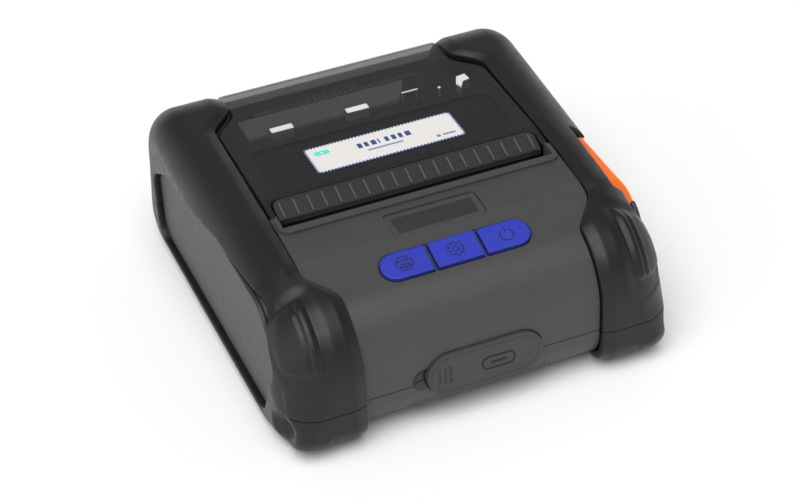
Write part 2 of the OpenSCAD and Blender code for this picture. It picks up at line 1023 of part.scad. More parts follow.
hook_x0 = 43.1;
hook_x1 = 44.3;

module latch_hooks() {
    color(steel)
        difference() {
            slab_both(hook_x0, hook_x1) {
                translate([latch_y, latch_z])
                    circle(3.8);
                polygon([[latch_y, latch_z - 3.4], [-17, 38.6], [-11.8, 39.6], [-10.4, 41.5],
                    [-10.4, 43.4], [-13, 44.2], [latch_y, latch_z + 3.6]]);
            }
            rod_x(-60, 60, latch_y, latch_z, shaft_r);
            rod_x(-60, 60, platen_y, platen_z, shaft_r + 0.35);
        }
}

module latch_spring() {
    color(steel)
        ring_spring(34, latch_y, latch_z, 2.7, 0.45, 5, 1.5);
}

// ---- media bay ----

guide_x = media_w / 2 + 0.2;
tooth_h = 0.85 * rack_m;
rack_pitch = 3.14159265 * rack_m;
rack_back = 4;
rack_reach = 3.2;

// Straight rack lying along X with its pitch line at y = 0 and its teeth towards -Y.
module rack_bar(x0, x1) {
    translate([x0, 1.1 * rack_m])
        square([x1 - x0, rack_back]);
    for (i = [-7:0])
        translate([(i + 0.5) * rack_pitch, 0])
            polygon([[-0.62 * rack_m, 1.1 * rack_m + eps], [-0.28 * rack_m, -tooth_h],
                [0.28 * rack_m, -tooth_h], [0.62 * rack_m, 1.1 * rack_m + eps]]);
}

module media_guide() {
    color([0.2, 0.2, 0.21]) {
        difference() {
            union() {
                box(-guide_x - guide_t, -guide_x, 8, 40, rack_z0, 32);
                slab(-guide_x - guide_t, -guide_x)
                    translate([guide_y, 32])
                        circle(10);
            }
            rod_x(-60, -30, guide_y, 29, 5.2);
        }
        translate([0, guide_y + rack_r, rack_z0])
            linear_extrude(rack_h)
                rack_bar(-guide_x - eps, rack_reach);
    }
}

module guide_left() {
    media_guide();
}

module guide_right() {
    translate([0, 2 * guide_y, 0])
        rotate([0, 0, 180])
            media_guide();
}

module guide_pinion() {
    color(nylon_white)
        translate([0, guide_y, rack_z0])
            linear_extrude(rack_h)
                gear(rack_teeth, rack_m, pinion_bore_r);
}

module media_sensor() {
    color([0.12, 0.12, 0.13])
        box(-6, 6, bay_y0 + 0.05, bay_y0 + 1.6, 24, 31);
}

// ---- controls ----

module display_window() {
    color([0.1, 0.1, 0.11])
        intersection() {
            skin_slice(0.5, 1.7);
            display_plan(0, 40, 60);
        }
}

module display_module() {
    color([0.2, 0.25, 0.28])
        intersection() {
            skin_slice(2.6, 4.6);
            display_plan(-0.8, 38, 60);
        }
}

// Blue key cap with a hidden flange that keeps it in the case.
module key_cap() {
    color(key_blue)
        on_key_face() {
            translate([0, 0, -key_depth])
                linear_extrude(key_depth + key_proud)
                    children(0);
            translate([0, 0, -key_depth - 0.9])
                linear_extrude(0.9)
                    children(1);
        }
}

module button_feed() {
    key_cap() {
        key_plan_middle(0);
        square([2 * key_half_w + 0.8, 2 * (key_r + key_flange)], center = true);
    }
}

module key_outer_flange(side) {
    intersection() {
        key_plan_outer(side, key_flange);
        translate([side > 0 ? key_half_w + key_gap - 0.4 : -60, -20])
            square([60 - key_half_w - key_gap + 0.4, 40]);
    }
}

module button_print() {
    key_cap() {
        key_plan_outer(-1, 0);
        key_outer_flange(-1);
    }
}

module button_power() {
    key_cap() {
        key_plan_outer(1, 0);
        key_outer_flange(1);
    }
}

key_xs = [-16, 0, 16];
switch_top = -5;

module key_switches() {
    color(nylon_white)
        on_key_face()
            for (x = key_xs) {
                translate([x - 2.6, -2.6, switch_top - 1.6])
                    cube([5.2, 5.2, 1.2]);
                translate([x, 0, switch_top - 0.4])
                    cylinder(h = 0.3, r = 1.3);
            }
}

module keypad_board() {
    color(board_green)
        on_key_face()
            box(-24, 24, -5.2, 5.2, switch_top - 3.2, switch_top - 1.6);
}

// ---- electronics ----

board_z = 24.6;
board_t = 1.6;

module main_board() {
    color(board_green)
        box(-35, 35, -57, -25, board_z, board_z + board_t);
    color([0.12, 0.12, 0.13]) {
        box(-8, 6, -48, -34, board_z + board_t, board_z + board_t + 1.4);
        box(12, 20, -42, -36, board_z + board_t, board_z + board_t + 1.2);
        box(-32, -26, -54, -30, board_z + board_t, board_z + board_t + 6);
    }
}

module radio_module() {
    color([0.75, 0.76, 0.78])
        box(10, 28, -56, -44, board_z + board_t, board_z + board_t + 2.2);
}

module buzzer() {
    color([0.1, 0.1, 0.1])
        translate([28, -34, board_z + board_t])
            difference() {
                cylinder(h = 4.5, r = 5);
                translate([0, 0, 3])
                    cylinder(h = 3, r = 1);
            }
}

module port_cover() {
    color(rubber_black)
        difference() {
            port_slab(-65.7, port_floor_y - 0.3, 0);
            for (i = [0:2])
                box(-15.5 + i * 1.8, -14.7 + i * 1.8, -70, -65.3, port_z - 3, port_z + 3);
        }
}

board_y = -54.6;

module port_board() {
    color(board_green)
        box(-14, 14, board_y, board_y + 1.2, 8, 23.8);
}

module usb_socket() {
    color(steel)
        difference() {
            box(-4.5, 4.5, port_floor_y + 0.3, board_y, port_z - 1.6, port_z + 1.6);
            box(-4.15, 4.15, port_floor_y, board_y - 1.2, port_z - 1.25, port_z + 1.25);
        }
    color(rubber_black)
        box(-3.3, 3.3, port_floor_y + 1, board_y - 1.2 + eps, port_z - 0.35, port_z + 0.35);
}

module battery_pack() {
    color([0.14, 0.15, 0.17])
        box(-33, 33, -52.4, -21.6, 4.9, 22.9);
}

module battery_door() {
    color(case_grey)
        difference() {
            union() {
                box(-door_half_w, door_half_w, door_y0, door_y1, 2, 2 + wall);
                box(-door_half_w + 2, door_half_w - 2, door_y0 + 2, door_y1 - 2, 4, 4.6);
            }
            for (i = [0:4])
                box(-9, 9, door_y1 - 12 + i * 2, door_y1 - 11.2 + i * 2, 1, 2.5);
        }
}

module case_screws() {
    color(steel)
        screw_sites()
            difference() {
                union() {
                    translate([0, 0, screw_seat_z - 1.1])
                        cylinder(h = 1.1, r = 2.3);
                    translate([0, 0, screw_seat_z - 1.1])
                        cylinder(h = 6.4, r = 1.2);
                }
                translate([0, 0, screw_seat_z - 1.2])
                    cylinder(h = 0.8, r = 1, $fn = 6);
            }
}

module rubber_feet() {
    color(rubber_black)
        foot_places()
            cylinder(h = 2, r = 4);
}

// ---- nodes ----

upper_shell();
lower_shell();
bumper_upper_left();
bumper_upper_right();
bumper_lower_left();
bumper_lower_right();
side_panel_left();
side_panel_right();
lid();
lid_frame();
lid_label();
paper_rail();
paper_clips();
paper_wire();
paper_hook();
exit_strip();
lid_hinge_pin();
lid_spring();
chassis();
platen_roller();
platen_shaft();
platen_gear();
platen_bushes();
idler_gear();
idler_axle();
motor_pinion();
motor();
print_head();
heat_sink();
head_springs();
head_bracket();
tear_bar();
latch_lever();
latch_shaft();
latch_hooks();
latch_spring();
guide_left();
guide_right();
guide_pinion();
media_sensor();
display_window();
display_module();
button_print();
button_feed();
button_power();
keypad_board();
key_switches();
main_board();
radio_module();
buzzer();
port_cover();
port_board();
usb_socket();
battery_pack();
battery_door();
case_screws();
rubber_feet();
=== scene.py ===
import json
import math
import bmesh
import bpy
import numpy as np
from mathutils import Matrix, Vector

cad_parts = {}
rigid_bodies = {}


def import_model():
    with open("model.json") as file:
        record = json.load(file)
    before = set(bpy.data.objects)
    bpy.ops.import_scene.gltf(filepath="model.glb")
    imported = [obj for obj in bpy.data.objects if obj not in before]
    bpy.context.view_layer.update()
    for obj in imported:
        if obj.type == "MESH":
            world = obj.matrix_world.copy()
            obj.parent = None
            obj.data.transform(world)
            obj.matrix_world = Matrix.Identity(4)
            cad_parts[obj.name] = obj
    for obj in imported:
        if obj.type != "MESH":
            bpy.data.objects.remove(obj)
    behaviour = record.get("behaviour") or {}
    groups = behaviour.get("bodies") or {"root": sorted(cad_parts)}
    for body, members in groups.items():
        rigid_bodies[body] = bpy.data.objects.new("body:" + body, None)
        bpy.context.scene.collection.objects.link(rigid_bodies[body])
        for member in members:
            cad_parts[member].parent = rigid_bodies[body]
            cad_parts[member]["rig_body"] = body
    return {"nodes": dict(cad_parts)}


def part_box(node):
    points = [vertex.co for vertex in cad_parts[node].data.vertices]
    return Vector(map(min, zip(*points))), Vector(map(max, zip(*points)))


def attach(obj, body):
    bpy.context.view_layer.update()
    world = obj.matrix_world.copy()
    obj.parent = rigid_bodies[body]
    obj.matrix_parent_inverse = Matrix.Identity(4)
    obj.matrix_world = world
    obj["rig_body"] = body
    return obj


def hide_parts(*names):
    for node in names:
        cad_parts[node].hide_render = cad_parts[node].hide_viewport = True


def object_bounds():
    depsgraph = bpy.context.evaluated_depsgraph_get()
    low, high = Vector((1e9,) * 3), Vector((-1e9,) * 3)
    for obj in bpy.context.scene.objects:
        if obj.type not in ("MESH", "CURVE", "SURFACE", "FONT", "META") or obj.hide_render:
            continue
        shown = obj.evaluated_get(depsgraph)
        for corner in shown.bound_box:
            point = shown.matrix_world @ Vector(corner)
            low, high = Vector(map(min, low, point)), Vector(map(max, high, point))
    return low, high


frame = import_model()
cad_lo, cad_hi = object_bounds()
nodes = frame["nodes"]
MM = 0.001


# ---------------------------------------------------------------- materials

NOISE_LOW, NOISE_HIGH = 0.3, 0.7        # where a noise texture spends most of its range


def srgb(r, g, b):
    """Linear colour of an 8-bit screen colour."""
    return tuple(((c / 255 + 0.055) / 1.055) ** 2.4 if c > 10 else c / 255 / 12.92
                 for c in (r, g, b)) + (1.0,)


class Mat:
    """A principled material whose colour, roughness and relief come from object-space noise."""

    def __init__(self, name, color, rough=0.5, **sockets):
        self.mat = bpy.data.materials.new(name)
        self.mat.use_nodes = True
        self.tree = self.mat.node_tree
        self.bsdf = self.tree.nodes["Principled BSDF"]
        self.base = color
        self.bsdf.inputs["Base Color"].default_value = color
        self.bsdf.inputs["Roughness"].default_value = rough
        for key, value in sockets.items():
            self.bsdf.inputs[key.replace("_", " ")].default_value = value
        self.coords = self.new("ShaderNodeTexCoord").outputs["Object"]
        self.height = None

    def new(self, kind, **props):
        """A node of the given type, with its properties set."""
        node = self.tree.nodes.new(kind)
        for key, value in props.items():
            setattr(node, key, value)
        return node

    def link(self, a, b):
        self.tree.links.new(a, b)

    def noise(self, size, detail=3.0, rough=0.55, stretch=(1, 1, 1)):
        """Noise whose features are about size metres across, longer along a stretched axis."""
        mapping = self.new("ShaderNodeMapping")
        mapping.inputs["Scale"].default_value = [1 / (size * s) for s in stretch]
        tex = self.new("ShaderNodeTexNoise")
        tex.inputs["Scale"].default_value = 1.0
        tex.inputs["Detail"].default_value = detail
        tex.inputs["Roughness"].default_value = rough
        self.link(self.coords, mapping.inputs["Vector"])
        self.link(mapping.outputs["Vector"], tex.inputs["Vector"])
        return tex.outputs["Fac"]

    def spread(self, fac, lo, hi):
        """Maps the middle of a noise onto lo..hi."""
        node = self.new("ShaderNodeMapRange")
        node.inputs["From Min"].default_value = NOISE_LOW
        node.inputs["From Max"].default_value = NOISE_HIGH
        node.inputs["To Min"].default_value = lo
        node.inputs["To Max"].default_value = hi
        self.link(fac, node.inputs["Value"])
        return node.outputs["Result"]

    def tint(self, fac, amount):
        """Varies the base colour's brightness by amount either way."""
        scale = self.spread(fac, 1 - amount, 1 + amount)
        mix = self.new("ShaderNodeVectorMath", operation="SCALE")
        mix.inputs[0].default_value = self.base[:3]
        self.link(scale, mix.inputs["Scale"])
        self.link(mix.outputs["Vector"], self.bsdf.inputs["Base Color"])
        return self

    def gloss(self, fac, lo, hi):
        self.link(self.spread(fac, lo, hi), self.bsdf.inputs["Roughness"])
        return self

    def relief(self, fac, depth, strength=1.0):
        """Adds a layer of relief, depth metres deep."""
        bump = self.new("ShaderNodeBump")
        bump.inputs["Strength"].default_value = strength
        bump.inputs["Distance"].default_value = depth
        self.link(fac, bump.inputs["Height"])
        if self.height:
            self.link(self.height, bump.inputs["Normal"])
        self.height = bump.outputs["Normal"]
        self.link(self.height, self.bsdf.inputs["Normal"])
        return self


def moulded(name, color, rough, grain=0.35 * MM, depth=0.012 * MM, vary=0.06, spread=0.06,
            **sockets):
    """Spark-textured moulded plastic: fine grain, faint mottling, uneven gloss."""
    m = Mat(name, color, rough, **sockets)
    m.tint(m.noise(9 * MM, 4.0), vary)
    m.gloss(m.noise(4 * MM, 3.0), rough - spread, rough + spread)
    m.relief(m.noise(grain, 2.0, 0.6), depth)
    m.relief(m.noise(25 * MM, 1.0), 0.01 * MM, 0.3)
    return m.mat


def metal(name, color, rough, stretch=(12, 1, 1), grain=0.25 * MM, depth=0.004 * MM):
    """Brushed or turned metal, with marks drawn out along one axis."""
    m = Mat(name, color, rough, Metallic=1.0)
    marks = m.noise(grain, 3.0, 0.6, stretch)
    m.tint(m.noise(6 * MM, 3.0), 0.08)
    m.gloss(marks, rough - 0.08, rough + 0.12)
    m.relief(marks, depth)
    return m.mat


case_mat = moulded("case_plastic", srgb(63, 63, 64), 0.46, vary=0.035, Specular_IOR_Level=0.4)
bumper_mat = moulded("bumper_rubber", srgb(22, 22, 23), 0.4, grain=0.5 * MM, depth=0.006 * MM,
                     vary=0.08, Specular_IOR_Level=0.36)
panel_mat = moulded("panel_plastic", srgb(45, 45, 46), 0.5, grain=0.6 * MM, depth=0.006 * MM,
                    vary=0.012, spread=0.02)
inner_mat = moulded("inner_plastic", srgb(22, 22, 23), 0.5, Specular_IOR_Level=0.3)
# lighter tone for the strip's ridge tops: a painted highlight where the ridges catch the light
ridge_highlight_mat = moulded("strip_ridge_highlights", srgb(72, 72, 73), 0.5, grain=0.4 * MM, depth=0.02 * MM)
rail_mat = moulded("rail_plastic", srgb(236, 236, 238), 0.45)
nylon_mat = moulded("nylon", srgb(222, 221, 218), 0.45, grain=0.6 * MM, depth=0.006 * MM, vary=0.03,
                    Subsurface_Weight=0.1)
cover_mat = moulded("cover_rubber", srgb(62, 62, 63), 0.55, grain=0.3 * MM, depth=0.01 * MM,
                    vary=0.04, Specular_IOR_Level=0.35)
roller_mat = moulded("roller_rubber", srgb(22, 22, 23), 0.6, grain=0.25 * MM, depth=0.01 * MM)
foot_mat = moulded("foot_rubber", srgb(30, 30, 31), 0.7, grain=0.4 * MM, depth=0.03 * MM)
key_mat = moulded("key_plastic", srgb(42, 56, 170), 0.42, grain=0.3 * MM, depth=0.004 * MM, vary=0.04,
                  Specular_IOR_Level=0.35)
key_ink_mat = moulded("key_engraving", srgb(14, 18, 66), 0.5, vary=0.03)
latch_mat = moulded("latch_plastic", srgb(255, 112, 30), 0.4, grain=0.3 * MM, depth=0.005 * MM,
                    vary=0.03, Specular_IOR_Level=0.3)
screen_mat = moulded("lcd_screen", srgb(50, 50, 51), 0.3, grain=2.5 * MM, depth=0.006 * MM, vary=0.1,
                     Specular_IOR_Level=0.3)
steel_mat = metal("steel", srgb(188, 190, 194), 0.32)
can_mat = metal("plated_can", srgb(150, 152, 156), 0.36)
alu_mat = metal("aluminium", srgb(196, 198, 202), 0.34)
brass_mat = metal("bronze", srgb(196, 160, 96), 0.38, stretch=(1, 1, 1))
ceramic_mat = moulded("head_glaze", srgb(196, 192, 178), 0.2, grain=1.2 * MM, depth=0.002 * MM)
battery_mat = moulded("battery_wrap", srgb(38, 42, 50), 0.3, grain=2.5 * MM, depth=0.02 * MM)


def board_material():
    """Green solder mask with faint copper tracks under it."""
    m = Mat("solder_mask", srgb(20, 92, 48), 0.3)
    tracks = m.new("ShaderNodeTexBrick")
    tracks.inputs["Scale"].default_value = 260.0
    tracks.inputs["Color1"].default_value = srgb(22, 100, 54)
    tracks.inputs["Color2"].default_value = srgb(26, 110, 60)
    tracks.inputs["Mortar"].default_value = srgb(12, 70, 36)
    m.link(m.coords, tracks.inputs["Vector"])
    m.link(tracks.outputs["Color"], m.bsdf.inputs["Base Color"])
    m.relief(m.noise(0.8 * MM), 0.004 * MM)
    return m.mat


def smoked(name, color, alpha, rough):
    """Smoked polycarbonate that lets the parts below show dimly."""
    m = Mat(name, color, rough, Specular_IOR_Level=0.4)
    m.bsdf.inputs["Alpha"].default_value = alpha
    m.tint(m.noise(14 * MM, 3.0), 0.05)
    m.gloss(m.noise(5 * MM, 4.0), rough - 0.04, rough + 0.04)
    m.relief(m.noise(0.3 * MM, 2.0), 0.003 * MM)
    return m.mat


def glass_material():
    """Hard-coated display window with a faint ripple."""
    m = Mat("display_glass", srgb(66, 66, 67), 0.3, Specular_IOR_Level=0.4)
    m.tint(m.noise(6 * MM, 3.0), 0.08)
    m.gloss(m.noise(3 * MM), 0.26, 0.34)
    m.relief(m.noise(5 * MM, 2.0), 0.006 * MM, 0.4)
    return m.mat


def paper_material(name, color):
    """Coated label stock: bright, matt, with a faint fibre."""
    m = Mat(name, color, 0.55)
    fibre = m.noise(0.25 * MM, 4.0, 0.7, (3, 1, 1))
    m.tint(fibre, 0.03)
    m.gloss(m.noise(2 * MM), 0.5, 0.62)
    m.relief(fibre, 0.006 * MM)
    return m.mat


def grained(name, color, rough):
    """Coarse sandy grain whose colour follows its relief: painted shade in its pits and a painted
    highlight on its peaks.
    """
    m = Mat(name, color, rough, Specular_IOR_Level=0.3)
    grain = m.noise(0.55 * MM, 2.0, 0.6)
    # the relief's own noise darkens the pits and lightens the peaks: painted shade and painted
    # highlight
    m.tint(grain, 0.28)
    m.gloss(m.noise(3 * MM, 3.0), rough - 0.06, rough + 0.06)
    m.relief(grain, 0.14 * MM)
    return m.mat


board_mat = board_material()
# the strip's grain carries painted shade in its pits and a painted highlight on its peaks
strip_mat = grained("strip_plastic", srgb(42, 42, 43), 0.6)
lid_mat = smoked("smoked_polycarbonate", srgb(44, 44, 45), 0.56, 0.4)
recess_mat = smoked("recess_polycarbonate", srgb(21, 21, 22), 0.92, 0.5)
glass_mat = glass_material()
paper_mat = paper_material("label_paper", srgb(224, 221, 218))
ink_blue = paper_material("label_ink_blue", srgb(30, 74, 130))
ink_teal = paper_material("label_ink_teal", srgb(90, 225, 200))
ink_grey = paper_material("label_ink_grey", srgb(110, 130, 150))


# ---------------------------------------------------------------- mesh helpers

def finish_piece(obj, body, mat, replaced=()):
    """Gives a piece its material or materials, body and the CAD nodes that it replaces."""
    for one in mat if isinstance(mat, (list, tuple)) else [mat]:
        obj.data.materials.append(one)
    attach(obj, body)
    if replaced:
        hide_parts(*replaced)
    return obj


def object_from(bm, name, smooth_angle=38):
    """A shown object whose faces shade smoothly up to the given edge angle."""
    bmesh.ops.recalc_face_normals(bm, faces=bm.faces)
    mesh = bpy.data.meshes.new(name)
    bm.to_mesh(mesh)
    bm.free()
    mesh.shade_smooth()
    mesh.set_sharp_from_angle(angle=math.radians(smooth_angle))
    obj = bpy.data.objects.new(name, mesh)
    bpy.context.scene.collection.objects.link(obj)
    return obj


def grid_faces(bm, verts, wrap_u=False, wrap_v=False):
    """Quads over a rows by columns table of vertices."""
    rows, cols = len(verts), len(verts[0])
    for i in range(rows if wrap_u else rows - 1):
        for j in range(cols if wrap_v else cols - 1):
            bm.faces.new((verts[i][j], verts[(i + 1) % rows][j],
                          verts[(i + 1) % rows][(j + 1) % cols], verts[i][(j + 1) % cols]))


def soften(bm, width, min_angle=28, segments=2):
    """Rounds every edge sharper than min_angle degrees."""
    limit = math.radians(min_angle)
    edges = [e for e in bm.edges if len(e.link_faces) == 2 and e.calc_face_angle(0) > limit]
    if edges and width > 0:
        bmesh.ops.bevel(bm, geom=edges, offset=width, offset_type="OFFSET", segments=segments,
                        profile=0.5, affect="EDGES", clamp_overlap=True)


def refined(node, name, mat, width=0.25 * MM, segments=2, smooth_angle=38, paint=None):
    """A copy of a CAD node with its facets merged and its edges rounded, standing for the node.

    paint(bm) may cut the mesh and give its faces other materials of the list mat.
    """
    bm = bmesh.new()
    bm.from_mesh(nodes[node].data)
    bmesh.ops.remove_doubles(bm, verts=bm.verts, dist=0.002 * MM)
    bmesh.ops.dissolve_limit(bm, angle_limit=math.radians(0.8), verts=bm.verts, edges=bm.edges)
    soften(bm, width, segments=segments)
    if paint:
        bmesh.ops.recalc_face_normals(bm, faces=bm.faces)
        bm.normal_update()
        paint(bm)
    obj = object_from(bm, name, smooth_angle)
    obj.modifiers.new("even_shading", "WEIGHTED_NORMAL").keep_sharp = True
    return finish_piece(obj, nodes[node]["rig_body"], mat, [node])


def plate(name, outlines, thickness, place=Matrix()):
    """Thin flat plates of the given outlines (points in mm), standing on the place's XY plane."""
    bm = bmesh.new()
    for outline in outlines:
        low = [bm.verts.new(place @ Vector((x * MM, y * MM, 0))) for x, y in outline]
        high = [bm.verts.new(place @ Vector((x * MM, y * MM, thickness * MM))) for x, y in outline]
        bm.faces.new(low[::-1])
        bm.faces.new(high)
        for i in range(len(low)):
            k = (i + 1) % len(low)
            bm.faces.new((low[i], low[k], high[k], high[i]))
    return object_from(bm, name, 30)


def ribbon(points, width, closed=True):
    """Quads (as outlines) that follow a line of points with the given width."""
    pts = [Vector(p) for p in points]
    count = len(pts)
    sides = []
    for i, p in enumerate(pts):
        before = pts[i - 1] if closed or i > 0 else p
        after = pts[(i + 1) % count] if closed or i < count - 1 else p
        d = (after - before).normalized()
        sides.append(Vector((-d.y, d.x)) * (width / 2))
    quads = []
    for i in range(count if closed else count - 1):
        k = (i + 1) % count
        quads.append([pts[i] - sides[i], pts[k] - sides[k], pts[k] + sides[k], pts[i] + sides[i]])
    return quads


def arc(x, y, r, a0, a1, count=24):
    """Points along a circle's arc, angles in degrees."""
    return [(x + r * math.cos(math.radians(a)), y + r * math.sin(math.radians(a)))
            for a in np.linspace(a0, a1, count)]


def rounded_rect(x0, x1, y0, y1, r, count=6):
    """Outline of a rectangle with round corners."""
    return (arc(x1 - r, y0 + r, r, -90, 0, count) + arc(x1 - r, y1 - r, r, 0, 90, count)
            + arc(x0 + r, y1 - r, r, 90, 180, count) + arc(x0 + r, y0 + r, r, 180, 270, count))


# ---------------------------------------------------------------- bumpers

GAP = 0.3                   # bumper to case, mm
LID_SIDE_GAP = 0.5          # bumper to lid
half_w = cad_hi.x / MM
half_d = cad_hi.y / MM
split_z = (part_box("bumper_lower_left")[1].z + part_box("bumper_upper_left")[0].z) / 2 / MM
centre_half_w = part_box("lid")[1].x / MM + LID_SIDE_GAP
waist_half_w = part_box("bumper_upper_right")[0].x / MM - GAP

# Side outline of a bumper: chain of circles (y, z, radius, edge radius), anticlockwise.
BUMPER_DISCS = [(-half_d + 9, 9.8, 9, 9), (-44, 12.78, 12, 3), (half_d - 11, 11.8, 11, 4),
                (half_d - 19.5, 35, 19.5, 10), (-12.5, 36.8, 15.5, 15), (-33, 34.4, 16, 16),
                (-half_d + 23, 24.5, 23, 18)]
LOW_CORNER = BUMPER_DISCS[0][:2]
CORNER_INSET = 5            # how far the side face draws in at the lower front corner
CORNER_REACH = 7.5
# Outline of the opening for the side panel: circles (y, z, radius).
WINDOW_DISCS = [(-38.5, 12.2, 7.5), (50.5, 12, 7), (50.2, 25, 7.1), (38, 29, 9.5), (-7, 35.2, 8.8),
                (-38, 33.6, 10), (-46, 27, 7.5)]
# Between these depths (y) the middle of the case widens from its waist to its lid.
WIDEN_FRONT = (-52, -38)
WIDEN_REAR = (36, 48)

OUTLINE_STEP = 0.5
BLEND_LENGTH = 3            # over which normals are smoothed along the outline
EDGE_BLEND = 8              # square mm over which neighbouring edge radii mix
SKIN_POINTS = 84
SECTION_STEPS = 220
SKIN_STEPS = 400
RIM_R = 0.9                 # rounding of the window's rim
BAND_W = 3.0                # step band beside the case: width, depth
BAND_DROP = 1.25
WALL_DEPTH = 3.6
RING_INNER_X = 56.4
SKIN_SHARP = 35             # degrees between faces that shade as an edge
PARTING_GAP = 0.26          # seam between the upper and the lower bumper
NOTCH_GAP = 0.4             # round the lever
NOTCH_R = 1.2
WALL_POINTS = 14            # points of a section before and after its skin
RIM_POINTS = 9
SKIN_PROBE = 30             # a point of a section that is on the skin
PAD_FADE = 20               # points before the rim over which the pads fade out

# Grip pads: each range is where it starts, is full, starts to fade, and ends.
PAD_LIMIT_Y = -42
PAD_X = (50.0, 51.6, 60.6, 62.8)
PAD_TOP, PAD_LOW, PAD_EDGE_X = 46.8, 30.6, 52
PAD_BACK, PAD_BACK_Z = -46.5, 38
DISH_X = (46.0, 50.4, 62.0, 66.5)
PANEL_X = (50.4, 51.2, 61.0, 62.0)
PANEL_Z = (4.2, 5.2, 24.2, 25.0)
GROOVE_X = 53.4
PAD_RISE, RIDGE_RISE, GROOVE_SHARE = 1.1, 0.22, 0.8
DISH_DROP, PANEL_RISE = 0.65, 0.3


def chain_outline(discs, step):
    """Dense points, outward normals and edge radii round a convex chain of circles."""
    points, normals, edges = [], [], []
    count = len(discs)
    touches = []
    for i in range(count):
        a, b = discs[i], discs[(i + 1) % count]
        d = np.array([b[0] - a[0], b[1] - a[1]], float)
        length = np.linalg.norm(d)
        d /= length
        k = (a[2] - b[2]) / length
        touches.append(np.array([d[1], -d[0]]) * math.sqrt(1 - k * k) + d * k)
    for i in range(count):
        disc = discs[i]
        centre = np.array(disc[:2], float)
        before, after = touches[i - 1], touches[i]
        start = math.atan2(before[1], before[0])
        turn = (math.atan2(after[1], after[0]) - start) % (2 * math.pi)
        steps = max(2, int(turn * disc[2] / step))
        for t in np.linspace(0, turn, steps, endpoint=False):
            n = np.array([math.cos(start + t), math.sin(start + t)])
            points.append(centre + disc[2] * n)
            normals.append(n)
            edges.append(disc[-1])
        nxt = discs[(i + 1) % count]
        p0 = centre + disc[2] * after
        p1 = np.array(nxt[:2], float) + nxt[2] * after
        steps = max(2, int(np.linalg.norm(p1 - p0) / step))
        for t in np.linspace(0, 1, steps, endpoint=False):
            points.append(p0 + (p1 - p0) * t)
            normals.append(after)
            edges.append(disc[-1] + (nxt[-1] - disc[-1]) * t)
    return np.array(points), np.array(normals), np.array(edges, float)


def blur_ring(values, reach):
    """Smooths values round a closed ring."""
    kernel = np.exp(-np.linspace(-2, 2, 2 * reach + 1) ** 2)
    kernel /= kernel.sum()
    padded = np.concatenate([values[-reach:], values, values[:reach]])
    return np.stack([np.convolve(padded[:, c], kernel, "valid") for c in range(values.shape[1])], 1)


def ease(t):
    """Smooth step from 0 to 1."""
    t = np.clip(t, 0, 1)
    return t * t * (3 - 2 * t)


def inner_edge(y):
    """Half width of the middle of the case at depth y, where the bumper starts."""
    front = ease((y - WIDEN_FRONT[0]) / (WIDEN_FRONT[1] - WIDEN_FRONT[0]))
    rear = ease((WIDEN_REAR[1] - y) / (WIDEN_REAR[1] - WIDEN_REAR[0]))
    return waist_half_w + (centre_half_w - waist_half_w) * min(front, rear)


def resample(path, count):
    """count points at even spacing along a polyline."""
    path = np.asarray(path, float)
    run = np.concatenate([[0], np.cumsum(np.linalg.norm(np.diff(path, axis=0), axis=1))])
    at = np.linspace(0, run[-1], count)
    return np.stack([np.interp(at, run, path[:, c]) for c in range(path.shape[1])], 1)


def bezier(a, b, c, count):
    """Points along a quadratic curve from a to c, pulled towards b."""
    t = np.linspace(0, 1, count)[:, None]
    return (1 - t) ** 2 * a + 2 * t * (1 - t) * b + t ** 2 * c


def nearest_on(poly, p):
    """Nearest point to p on a closed polygon."""
    a = poly
    ab = np.roll(poly, -1, 0) - a
    t = np.clip(((p - a) * ab).sum(1) / (ab * ab).sum(1), 0, 1)
    q = a + ab * t[:, None]
    return q[((q - p) ** 2).sum(1).argmin()]


def soft_step(x, lo, hi):
    """Smooth step from 0 at lo to 1 at hi."""
    return ease((x - lo) / (hi - lo))


def within(v, start, full, fade, end):
    """1 between full and fade, easing to 0 at start and end."""
    return soft_step(v, start, full) * soft_step(-v, -end, -fade)


def pad_height(p):
    """Grip pads on the front corners: a ridged one in a shallow dish, and a flat panel below."""
    x, y, z = p
    if y > PAD_LIMIT_Y:
        return 0.0
    top = PAD_TOP - 0.5 * (x - PAD_EDGE_X)
    low = PAD_LOW - 0.25 * (x - PAD_EDGE_X)
    back = PAD_BACK - 1.3 * max(0.0, PAD_BACK_Z - z)
    pad = (within(x, *PAD_X) * within(z, low, low + 2.0, top - 1.8, top)
           * soft_step(-y, -back, 2.0 - back))
    dish = (within(x, *DISH_X) * within(z, low - 6, low + 0.5, top, top + 4)
            * soft_step(-y, -back - 3.5, 0.5 - back))
    bend = x - GROOVE_X
    ridges = (math.exp(-((bend + 1.0) / 0.6) ** 2) + math.exp(-((bend - 1.1) / 0.7) ** 2)
              - GROOVE_SHARE * math.exp(-(bend / 0.45) ** 2))
    panel = within(x, *PANEL_X) * within(z, *PANEL_Z)
    return pad * (PAD_RISE + RIDGE_RISE * ridges) - DISH_DROP * dish + PANEL_RISE * panel


def face_x(y, z):
    """Half width of the side face; it draws in at the lower front corner."""
    away = np.hypot(y - LOW_CORNER[0], z - LOW_CORNER[1])
    return half_w - CORNER_INSET * (1 - ease(away / CORNER_REACH))


def skin_height(q, points, normals, edges):
    """Half width of the bumper's skin at the points q (y, z) inside its outline."""
    away = points[None] - q[:, None]
    near = (away ** 2).sum(2)
    weight = np.exp((near.min(1)[:, None] - near) / EDGE_BLEND)
    e = (weight * edges).sum(1) / weight.sum(1)
    depth = np.clip((away * normals[None]).sum(2).min(1), 0, e)
    return face_x(q[:, 0], q[:, 1]) - e + np.sqrt(np.maximum(e * e - (e - depth) ** 2, 0))


